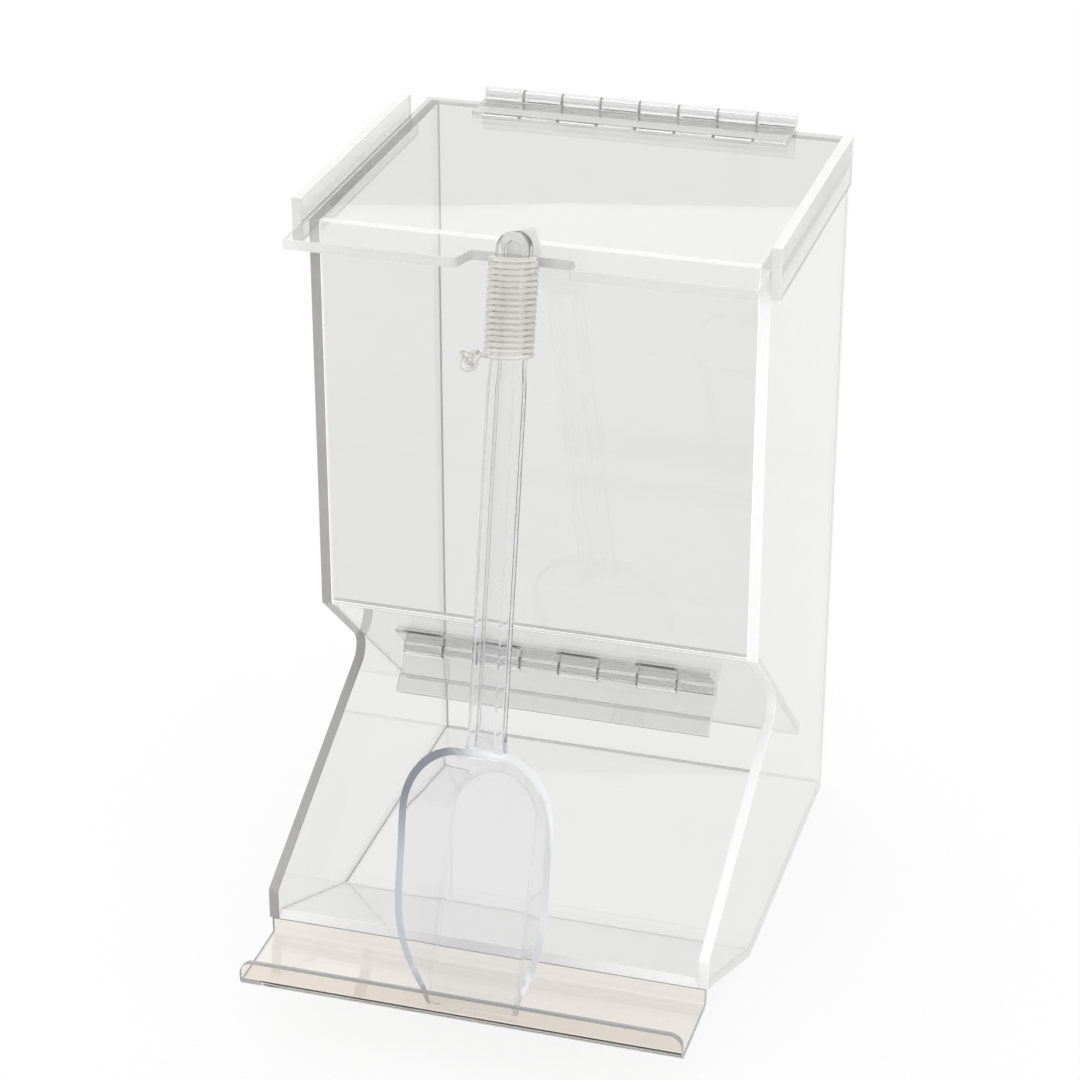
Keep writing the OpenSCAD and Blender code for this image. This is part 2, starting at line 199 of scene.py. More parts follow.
@dataclass(frozen=True)
class CutEdge:
    """A sawn and flamed edge of clear sheet, pale in its own colour; where glow is set it also gives off a painted
    glow.

    Attributes:
        name: What the edge is and how it was made.
        colour: Colour of the edge and of its painted glow, as sRGB hex.
        dark: Colour of the fine saw lines, as sRGB hex.
        roughness: Roughness of the flamed skin.
        clear: How much of the light still goes through.
        line_mm: Distance of the saw lines, in millimetres.
        through: How much of the light that the sheet's inside gets here comes in through the frosted skin.
        glow: Strength of the painted glow, light that the edge gives off by itself in place of light run down inside
            the sheet.
        shaded: Painted shade, the colour of the side left of turn_mm, as sRGB hex, where the two sides differ.
        shaded_low: Colour of the same painted-shade side lower down, as sRGB hex.
        turn_mm: Where across the width the two sides meet.
        fade_low_mm: Height under which the lower colour is full.
        fade_high_mm: Height over which the upper colour is full.
    """

    name: str
    colour: str = "#F2F2F2"
    dark: str = "#E2E2E2"
    roughness: float = 0.22
    clear: float = 0.25
    line_mm: float = 0.9
    through: float = 1.0
    glow: float = 0.0
    shaded: str = ""
    shaded_low: str = ""
    turn_mm: float = 0.0
    fade_low_mm: float = 0.0
    fade_high_mm: float = 0.0

    def make(self) -> bpy.types.Material:
        """Build the node material.

        Returns:
            The material.
        """
        material, tree = new_material(self.name)
        place = add_node(tree, "ShaderNodeTexCoord")
        saw = add_node(tree, "ShaderNodeTexNoise",
                       {"Vector": place.outputs["Object"], "Scale": 1000.0 / (self.line_mm * 12), "Detail": 4.0})
        # The edge's own colour with its saw lines; it gives off no light unless glow is set.
        glow = add_node(tree, "ShaderNodeMix",
                        {"Factor": saw.outputs["Fac"], 6: linear(self.colour), 7: linear(self.dark)},
                        data_type="RGBA")
        body = glow.outputs[2]
        # Painted shade: the side left of turn_mm takes a darker colour, paler lower down.
        if self.shaded:
            apart = add_node(tree, "ShaderNodeSeparateXYZ", {0: place.outputs["Object"]})
            side = add_node(tree, "ShaderNodeMapRange",
                            {"Value": apart.outputs["X"], "From Min": (self.turn_mm - 9.0) * MM,
                             "From Max": (self.turn_mm + 14.0) * MM})
            high = add_node(tree, "ShaderNodeMapRange",
                            {"Value": apart.outputs["Z"], "From Min": self.fade_low_mm * MM,
                             "From Max": self.fade_high_mm * MM})
            shade = add_node(tree, "ShaderNodeMix",
                             {"Factor": high.outputs["Result"], 6: linear(self.shaded_low), 7: linear(self.shaded)},
                             data_type="RGBA")
            two = add_node(tree, "ShaderNodeMix",
                           {"Factor": side.outputs["Result"], 6: shade.outputs[2], 7: body}, data_type="RGBA")
            body = two.outputs[2]
        bump = add_node(tree, "ShaderNodeBump", {"Height": saw.outputs["Fac"], "Strength": 0.05, "Distance": 0.0005})
        shader = add_node(tree, "ShaderNodeBsdfPrincipled",
                          {"Base Color": body, "Roughness": self.roughness, "IOR": 1.49,
                           "Transmission Weight": self.clear, "Normal": bump.outputs["Normal"]})
        through = add_node(tree, "ShaderNodeBsdfTranslucent", {"Color": body})
        skin = add_node(tree, "ShaderNodeNewGeometry")
        share = add_node(tree, "ShaderNodeMath", {0: skin.outputs["Backfacing"], 1: self.through},
                         operation="MULTIPLY")
        both = add_node(tree, "ShaderNodeMixShader", {"Fac": share.outputs[0], 1: shader.outputs["BSDF"],
                                                      2: through.outputs["BSDF"]})
        skin_shader = both.outputs["Shader"]
        # Painted glow: the edge gives off light of its own colour, though it is no lamp.
        if self.glow:
            painted_glow = add_node(tree, "ShaderNodeEmission", {"Color": body, "Strength": self.glow})
            total = add_node(tree, "ShaderNodeAddShader", {0: skin_shader, 1: painted_glow.outputs["Emission"]})
            skin_shader = total.outputs["Shader"]
        add_node(tree, "ShaderNodeOutputMaterial", {"Surface": skin_shader})
        return material


# Cast acrylic sheet: water-clear, almost flat, a trace of grey in the thickness
CAST_FACE = ClearFace("cast_acrylic_face")
# Lid sheet of the same stock, drawn with a greyer tint than the body's sheets
LID_FACE = ClearFace("lid_acrylic_face", tint="#E9E9E8")
# Thin sheet bent over a hot wire: slightly wavy, a warm trace
BENT_FACE = ClearFace("hot_bent_acrylic_face", tint="#F1ECE6", wave_mm=30.0, wave_depth=0.04)
# Extruded hinge: fine ripples along the extrusion
HINGE_FACE = ClearFace("extruded_hinge_face", tint="#FBFBFB", ior=1.5, wave_mm=9.0, wave_depth=0.008, clear=0.97, milk=0.06)
# Moulded scoop: flow waves along its length
MOULD_FACE = ClearFace("moulded_scoop_face", tint="#F9F9FA", ior=1.52, wave_mm=20.0, wave_depth=0.03, stretch=4.0, clear=0.97)
# Soft cord: slightly milky with a warm cast
CORD_FACE = ClearFace("soft_vinyl_cord", tint="#FFFEF9", ior=1.5, roughness=0.06, haze=0.04, wave_mm=6.0, clear=0.7)
# The tab's thin stuff: clearer than the cord, with the same milky cast
TAB_FACE = ClearFace("soft_vinyl_tab", tint="#FBFBF9", ior=1.5, roughness=0.05, wave_mm=9.0, clear=0.9, milk=0.25)
# Left panel's edge: the same sawn edge as the right panel's, drawn mid grey as painted shade
EDGE_PAINTED_SHADE = CutEdge("sawn_edge_painted_shade", colour="#B8B7B6", dark="#ABAAA9", clear=0.1)
# Sawn edges drawn bright white, the lit copy of the same edge as the left panel's: painted light
EDGE_WHITE = CutEdge("sawn_edge_bright", colour="#FEFEFE", dark="#FBFBFB", clear=0.0)
# Front panel's edges, bonded all round: the brightest line, a painted glow that gives off light of its own
EDGE_SEAM = CutEdge("bonded_edge_painted_glow", colour="#DCDCDC", dark="#D6D6D6", clear=0.0, glow=0.8)
# Lid and strip edges: pale grey
EDGE_PALE = CutEdge("sawn_edge_pale", colour="#F1F1F0", dark="#E8E8E7", clear=0.15)
# Tray edge: darker grey line
EDGE_TRAY = CutEdge("sawn_edge_tray", colour="#BDBBB9", dark="#AEACAA", clear=0.3)
# Rim of the scoop: its own pale colour on the right; its left drawn grey with a trace of blue as painted shade, paler
# lower down
EDGE_RIM = CutEdge("moulded_rim", colour="#FDFDFE", dark="#F6F7FA", clear=0.35, through=0.6,
                   shaded="#9EA2AF", shaded_low="#E2E6F0", turn_mm=-6.0, fade_low_mm=98.0, fade_high_mm=126.0)


class Workshop:
    """Makes each finish once and hands it out."""

    def __init__(self) -> None:
        """Start with no finishes made."""
        self.made: dict[str, bpy.types.Material] = {}

    def get(self, finish: ClearFace | CutEdge) -> bpy.types.Material:
        """Return the finish's material, made on first use."""
        if finish.name not in self.made:
            self.made[finish.name] = finish.make()
        return self.made[finish.name]


def settle(obj: bpy.types.Object, body: str, nodes: Sequence[str]) -> bpy.types.Object:
    """Fix a finished piece to its body and let it stand for its solids.

    Args:
        obj: The piece.
        body: The body it moves with.
        nodes: The solids it stands for.

    Returns:
        The piece.
    """
    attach(obj, body)
    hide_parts(*nodes)
    LOG.info("%s: %d faces on %s", obj.name, len(obj.data.polygons), body)
    return obj


def read_mesh(obj: bpy.types.Object, name: str) -> bpy.types.Object:
    """Turn an object with a node modifier into a plain mesh object.

    Args:
        obj: The object with its modifiers, removed here.
        name: Name of the plain object.

    Returns:
        The plain object.
    """
    graph = bpy.context.evaluated_depsgraph_get()
    graph.update()
    mesh = bpy.data.meshes.new_from_object(obj.evaluated_get(graph), depsgraph=graph)
    old = obj.data
    bpy.data.objects.remove(obj, do_unlink=True)
    bpy.data.meshes.remove(old)
    mesh.name = name
    plain = bpy.data.objects.new(name, mesh)
    bpy.context.collection.objects.link(plain)
    return plain


def from_bmesh(bm: bmesh.types.BMesh, name: str, materials: Sequence[bpy.types.Material],
               smooth_deg: float = 18.0, even: bool = True) -> bpy.types.Object:
    """Turn a bmesh into a linked object with outward normals.

    Args:
        bm: The mesh, freed here.
        name: The object's name.
        materials: Materials in slot order.
        smooth_deg: Edges flatter than this are shaded smooth.
        even: Whether the large flat faces keep their own direction where they run into a bend.

    Returns:
        The object.
    """
    bmesh.ops.recalc_face_normals(bm, faces=bm.faces[:])
    mesh = bpy.data.meshes.new(name)
    bm.to_mesh(mesh)
    bm.free()
    for material in materials:
        mesh.materials.append(material)
    mesh.polygons.foreach_set("use_smooth", [True] * len(mesh.polygons))
    mesh.set_sharp_from_angle(angle=math.radians(smooth_deg))
    obj = bpy.data.objects.new(name, mesh)
    bpy.context.collection.objects.link(obj)
    if even:
        weigh = obj.modifiers.new("even_normals", "WEIGHTED_NORMAL")
        weigh.mode = "FACE_AREA"
        weigh.weight = 100
        weigh.keep_sharp = True
        return read_mesh(obj, name)
    return obj


@dataclass
class CutSheet:
    """One flat or bent sheet, with eased edges and its own finish for face and edge.

    Attributes:
        node: The solid that gives the sheet its shape.
        body: The body it belongs to.
        face: Finish of the broad faces.
        edge: Finish of the cut edges.
        slot: The record's finish; not used.
        is_cut: Tells from a face's normal and middle, in metres, whether it is a cut edge.
        ease_mm: Width of the eased edges.
        relief_mm: How far the skin lies inside the solid, which keeps bonded faces apart.
    """

    node: str
    body: str
    face: ClearFace
    edge: CutEdge
    slot: Slot
    is_cut: Callable[[Vector, Vector], bool]
    ease_mm: float = 0.3
    relief_mm: float = 0.02

    def build(self, nodes: dict[str, bpy.types.Object], shop: Workshop) -> bpy.types.Object:
        """Make the sheet from its solid.

        Args:
            nodes: The frame's solids by name.
            shop: Source of the finishes.

        Returns:
            The finished sheet.
        """
        bm = bmesh.new()
        bm.from_mesh(nodes[self.node].data)
        bmesh.ops.remove_doubles(bm, verts=bm.verts[:], dist=2e-6)
        bmesh.ops.dissolve_limit(bm, angle_limit=math.radians(0.5), verts=bm.verts[:], edges=bm.edges[:])
        bmesh.ops.recalc_face_normals(bm, faces=bm.faces[:])
        for face in bm.faces:
            face.material_index = int(self.is_cut(face.normal, face.calc_center_median()))
        sharp = [e for e in bm.edges if len(e.link_faces) == 2 and e.calc_face_angle() > math.radians(30)]
        bmesh.ops.bevel(bm, geom=sharp, offset=self.ease_mm * MM, offset_type="OFFSET", segments=2,
                        profile=0.6, affect="EDGES", clamp_overlap=True, material=1)
        bm.normal_update()
        for vert in bm.verts:
            vert.co -= vert.normal * self.relief_mm * MM
        obj = from_bmesh(bm, self.node + "_sheet", [shop.get(self.face), shop.get(self.edge)])
        return settle(obj, self.body, [self.node])


def across(facing: Facing | Vector) -> Callable[[Vector, Vector], bool]:
    """Make a test for the cut edges of a flat sheet.

    Args:
        facing: The direction square to the broad faces.

    Returns:
        The test.
    """
    axis = facing if isinstance(facing, Vector) else Vector(facing.value)
    return lambda normal, middle: abs(normal.dot(axis)) < 0.7


@dataclass
class BinBody:
    """The bonded sheets of the hopper and trough, and the tray.

    Attributes:
        slope_deg: Slope of the baffle under the horizontal.
        ramp_deg: Slope of the ramp in front.
        lip_top_mm: Height over which the tray's lip counts as a cut edge; not used.
        tray_front_mm: Depth of the tray's rear flange; not used.
    """

    slope_deg: float = math.degrees(math.atan2(157.4 - 112.5, 49.5))
    ramp_deg: float = math.degrees(math.atan2(37.3, 84.5))
    lip_top_mm: float = 39.5
    tray_front_mm: float = -110.0

    def sheets(self) -> list[CutSheet]:
        """List the body's sheets."""
        slope = math.radians(self.slope_deg)
        ramp = math.radians(self.ramp_deg)
        square = Vector((0.0, -math.sin(slope), -math.cos(slope)))
        along = Vector((0.0, -math.cos(ramp), math.sin(ramp)))

        def floor_cut(normal: Vector, middle: Vector) -> bool:
            """Sides, front end and rear end of the bent floor."""
            return abs(normal.x) > 0.7 or normal.dot(along) > 0.9 or normal.y > 0.9

        def baffle_cut(normal: Vector, middle: Vector) -> bool:
            """Sides and rear end; the head is bonded clear to the front panel's lower edge."""
            return abs(normal.dot(square)) < 0.7 and normal.z < 0.9

        def tray_cut(normal: Vector, middle: Vector) -> bool:
            """Sides, the lip's top and the flange's top."""
            return abs(normal.x) > 0.7 or (normal.z > 0.5 and middle.z > 33 * MM)

        def sheet(node: str, edge: CutEdge, cut: Callable[[Vector, Vector], bool]) -> CutSheet:
            """One cast sheet of the body."""
            return CutSheet(node, "bin", CAST_FACE, edge, Slot.SHEET, cut)

        return [
            # The two side panels are the same sheet: the left one's edge takes the painted shade, the right one's the
            # lit copy.
            sheet("left_side_panel", EDGE_PAINTED_SHADE, across(Facing.X)),
            sheet("right_side_panel", EDGE_WHITE, across(Facing.X)),
            sheet("front_panel", EDGE_SEAM, across(Facing.Y)),
            sheet("baffle_panel", EDGE_WHITE, baffle_cut),
            sheet("back_panel", EDGE_PALE, across(Facing.Y)),
            sheet("floor_panel", EDGE_WHITE, floor_cut),
            CutSheet("scoop_tray", "bin", BENT_FACE, EDGE_TRAY, Slot.TRAY, tray_cut),
        ]

    def build(self, nodes: dict[str, bpy.types.Object], shop: Workshop) -> None:
        """Make every sheet of the body."""
        for sheet in self.sheets():
            sheet.build(nodes, shop)


@dataclass
class Lid:
    """The lid's flat sheet and its two upright side strips."""

    edge: CutEdge = EDGE_PALE

    def build(self, nodes: dict[str, bpy.types.Object], shop: Workshop) -> None:
        """Make the three sheets of the lid."""
        CutSheet("lid_sheet", "lid", LID_FACE, self.edge, Slot.LID, across(Facing.Z)).build(nodes, shop)
        for node in ("lid_left_strip", "lid_right_strip"):
            CutSheet(node, "lid", LID_FACE, self.edge, Slot.LID, across(Facing.X)).build(nodes, shop)


@dataclass
class Hinge:
    """An extruded clear hinge: two leaves with alternate knuckles, and a pin.

    Attributes:
        length: Length of the hinge.
        knuckles: Number of knuckles on both leaves together.
        barrel_r: Radius of a knuckle.
        bore_r: Radius of its bore.
        leaf_thick: Thickness of a leaf.
        seat: Distance of the mounting face from the axis.
        gap: Gap between two knuckles.
        sides: Number of sides of the round forms.
    """

    length: float = 150.0
    knuckles: int = 8
    barrel_r: float = 3.0
    bore_r: float = 1.25
    leaf_thick: float = 1.5
    seat: float = 3.3
    gap: float = 0.35
    sides: int = 40

    def knuckle(self) -> bpy.types.Object:
        """Cut one knuckle from the hinge's profile.

        Returns:
            The knuckle, its middle at the origin and its axis along X.
        """
        r, seat, t = self.barrel_r, self.seat, self.leaf_thick
        start, stop = 178.0, -127.0
        outer = [(-seat, -r - 0.6), (-seat, -0.2), (-seat + 0.1, 0.05)]
        count = self.sides
        for i in range(count + 1):
            a = math.radians(start + (stop - start) * i / count)
            outer.append((r * math.cos(a), r * math.sin(a)))
        outer.append((t - seat, -r - 0.6))
        half = (self.length / self.knuckles - self.gap) / 2
        bm = bmesh.new()
        rings = []
        for x, inset in ((-half, 0.18), (-half + 0.18, 0.0), (half - 0.18, 0.0), (half, 0.18)):
            ring = []
            for y, z in outer:
                pull = 1.0 - inset / r if math.hypot(y, z) < r + 0.4 else 1.0
                ring.append(bm.verts.new((x * MM, y * pull * MM, z * pull * MM)))
            bore = []
            for i in range(self.sides):
                a = 2 * math.pi * i / self.sides
                wide = self.bore_r + inset
                bore.append(bm.verts.new((x * MM, wide * math.cos(a) * MM, wide * math.sin(a) * MM)))
            rings.append((ring, bore))
        for (ring_a, bore_a), (ring_b, bore_b) in zip(rings, rings[1:]):
            for loop_a, loop_b in ((ring_a, ring_b), (bore_a, bore_b)):
                n = len(loop_a)
                for i in range(n):
                    j = (i + 1) % n
                    bm.faces.new((loop_a[i], loop_a[j], loop_b[j], loop_b[i]))
        for ring, bore in (rings[0], rings[-1]):
            edges = [bm.edges.get((loop[i], loop[(i + 1) % len(loop)])) for loop in (ring, bore)
                     for i in range(len(loop))]
            bmesh.ops.triangle_fill(bm, use_beauty=True, use_dissolve=False, edges=edges)
        return from_bmesh(bm, "knuckle", [], even=False)

    def plate(self, width: float) -> bpy.types.Object:
        """Cut the flat part of one leaf.

        Args:
            width: Distance of the leaf's far edge from the axis.

        Returns:
            The plate.
        """
        bm = bmesh.new()
        bmesh.ops.create_cube(bm, size=1.0)
        high, low = -self.barrel_r - 0.5, -width
        for vert in bm.verts:
            vert.co = Vector((vert.co.x * self.length, -self.seat + (vert.co.y + 0.5) * self.leaf_thick,
                              low + (vert.co.z + 0.5) * (high - low))) * MM
        bmesh.ops.bevel(bm, geom=bm.edges[:], offset=0.15 * MM, segments=2, profile=0.6, affect="EDGES")
        return from_bmesh(bm, "plate", [], even=False)

    def tree(self) -> bpy.types.NodeTree:
        """Build the node tree that sets knuckles along a leaf.

        Returns:
            The tree, with the inputs Knuckle, Count, First, Pitch, Face and Edge.
        """
        tree = bpy.data.node_groups.new("knuckles_along_leaf", "GeometryNodeTree")
        made = tree.interface.new_socket
        made(name="Geometry", in_out="INPUT", socket_type="NodeSocketGeometry")
        made(name="Knuckle", in_out="INPUT", socket_type="NodeSocketObject")
        made(name="Count", in_out="INPUT", socket_type="NodeSocketInt")
        made(name="First", in_out="INPUT", socket_type="NodeSocketFloat")
        made(name="Step", in_out="INPUT", socket_type="NodeSocketFloat")
        made(name="Face", in_out="INPUT", socket_type="NodeSocketMaterial")
        made(name="Edge", in_out="INPUT", socket_type="NodeSocketMaterial")
        made(name="Geometry", in_out="OUTPUT", socket_type="NodeSocketGeometry")
        given = add_node(tree, "NodeGroupInput")
        first = add_node(tree, "ShaderNodeCombineXYZ", {"X": given.outputs["First"]})
        step = add_node(tree, "ShaderNodeCombineXYZ", {"X": given.outputs["Step"]})
        line = add_node(tree, "GeometryNodeMeshLine",
                        {"Count": given.outputs["Count"], "Start Location": first.outputs[0],
                         "Offset": step.outputs[0]}, mode="OFFSET", count_mode="TOTAL")
        info = add_node(tree, "GeometryNodeObjectInfo", {"Object": given.outputs["Knuckle"]})
        spread = add_node(tree, "GeometryNodeInstanceOnPoints",
                          {"Points": line.outputs[0], "Instance": info.outputs["Geometry"]})
        real = add_node(tree, "GeometryNodeRealizeInstances", {"Geometry": spread.outputs[0]})
        join = add_node(tree, "GeometryNodeMeshBoolean", {"Mesh 2": given.outputs["Geometry"]},
                        operation="UNION", solver="EXACT")
        tree.links.new(real.outputs[0], join.inputs["Mesh 2"])
        whole_leaf = add_node(tree, "GeometryNodeRealizeInstances", {"Geometry": join.outputs[0]})
        normal = add_node(tree, "GeometryNodeInputNormal")
        parts = add_node(tree, "ShaderNodeSeparateXYZ", {0: normal.outputs[0]})
        size = add_node(tree, "ShaderNodeMath", {0: parts.outputs["X"]}, operation="ABSOLUTE")
        ends = add_node(tree, "ShaderNodeMath", {0: size.outputs[0], 1: 0.3}, operation="GREATER_THAN")
        whole = add_node(tree, "GeometryNodeSetMaterial",
                         {"Geometry": whole_leaf.outputs[0], "Material": given.outputs["Face"]})
        cut = add_node(tree, "GeometryNodeSetMaterial",
                       {"Geometry": whole.outputs[0], "Selection": ends.outputs[0],
                        "Material": given.outputs["Edge"]})
        add_node(tree, "NodeGroupOutput", {"Geometry": cut.outputs[0]})
        return tree

    def leaf(self, name: str, width: float, first: int, place: Matrix, edge: CutEdge,
             shop: Workshop) -> bpy.types.Object:
        """Build one leaf with its knuckles and put it in place.

        Args:
            name: The piece's name.
            width: Distance of the leaf's far edge from the axis.
            first: Number of its first knuckle, counted from 0 at the left end.
            place: Placement of the hinge's axis and the leaf's turn.
            edge: Finish of the knuckles' ends.
            shop: Source of the finishes.

        Returns:
            The leaf.
        """
        tree = self.tree()
        knuckle = self.knuckle()
        obj = self.plate(width)
        pitch = self.length / self.knuckles
        modifier = obj.modifiers.new("knuckles", "NODES")
        modifier.node_group = tree
        values = {"Knuckle": knuckle, "Count": (self.knuckles - first + 1) // 2,
                  "First": (-self.length / 2 + (first + 0.5) * pitch) * MM, "Step": 2 * pitch * MM,
                  "Face": shop.get(HINGE_FACE), "Edge": shop.get(edge)}
        for item in tree.interface.items_tree:
            if item.item_type == "SOCKET" and item.in_out == "INPUT" and item.name in values:
                modifier[item.identifier] = values[item.name]
        plain = read_mesh(obj, name)
        bpy.data.objects.remove(knuckle, do_unlink=True)
        bm = bmesh.new()
        bm.from_mesh(plain.data)
        materials = list(plain.data.materials)
        bpy.data.objects.remove(plain, do_unlink=True)
        bmesh.ops.remove_doubles(bm, verts=bm.verts[:], dist=1e-6)
        bmesh.ops.transform(bm, matrix=place, verts=bm.verts[:])
        return from_bmesh(bm, name, materials, 18.0)

    def pin(self, node: str, nodes: dict[str, bpy.types.Object], shop: Workshop) -> None:
        """Dress the clear rod that the knuckles turn on."""
        CutSheet(node, "bin", HINGE_FACE, EDGE_PALE, Slot.PIN, lambda normal, middle: abs(normal.x) > 0.7,
                 ease_mm=0.2).build(nodes, shop)


@dataclass
class Hinges:
    """The lid's hinge and the flap's hinge with its strip.

    Attributes:
        slope_deg: Slope of the baffle.
    """

    slope_deg: float = math.degrees(math.atan2(157.4 - 112.5, 49.5))

    def place(self, pin: str, turn: float, mirrored: bool) -> Matrix:
        """Placement of a leaf whose plate hangs down when it isn't turned.

        Args:
            pin: The pin whose middle lies on the hinge's axis.
            turn: Turn about the axis, in degrees.
            mirrored: Whether the plate lies on the axis's other side.

        Returns:
            The placement.
        """
        low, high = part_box(pin)
        there = Matrix.Translation((low + high) / 2) @ Matrix.Rotation(math.radians(turn), 4, "X")
        return there @ Matrix.Scale(-1.0, 4, (0.0, 1.0, 0.0)) if mirrored else there

    def build(self, nodes: dict[str, bpy.types.Object], shop: Workshop) -> None:
        """Make both hinges and the flap's strip."""
        hinge = Hinge()
        for name, body, width, first, where, edge in (
                ("lid_hinge_body_leaf", "bin", 19.6, 1, self.place("lid_hinge_pin", 0.0, False), EDGE_PALE),
                ("lid_hinge_lid_leaf", "lid", 23.3, 0, self.place("lid_hinge_pin", -90.0, True), EDGE_PALE),
                ("flap_hinge_fixed_leaf", "bin", 20.0, 0,
                 self.place("flap_hinge_pin", 270.0 - self.slope_deg, False), EDGE_WHITE),
                ("flap_hinge_swing_leaf", "flap", 21.4, 1,
                 self.place("flap_hinge_pin", -self.slope_deg, True), EDGE_WHITE)):
            leaf = hinge.leaf(name + "_extruded", width, first, where, edge, shop)
            settle(leaf, body, [name])
        for node in ("lid_hinge_pin", "flap_hinge_pin"):
            hinge.pin(node, nodes, shop)
        slope = math.radians(self.slope_deg)
        thin = Vector((0.0, math.cos(slope), -math.sin(slope)))
        CutSheet("flap_strip", "flap", CAST_FACE, EDGE_WHITE, Slot.SHEET, across(thin),
                 ease_mm=0.2).build(nodes, shop)


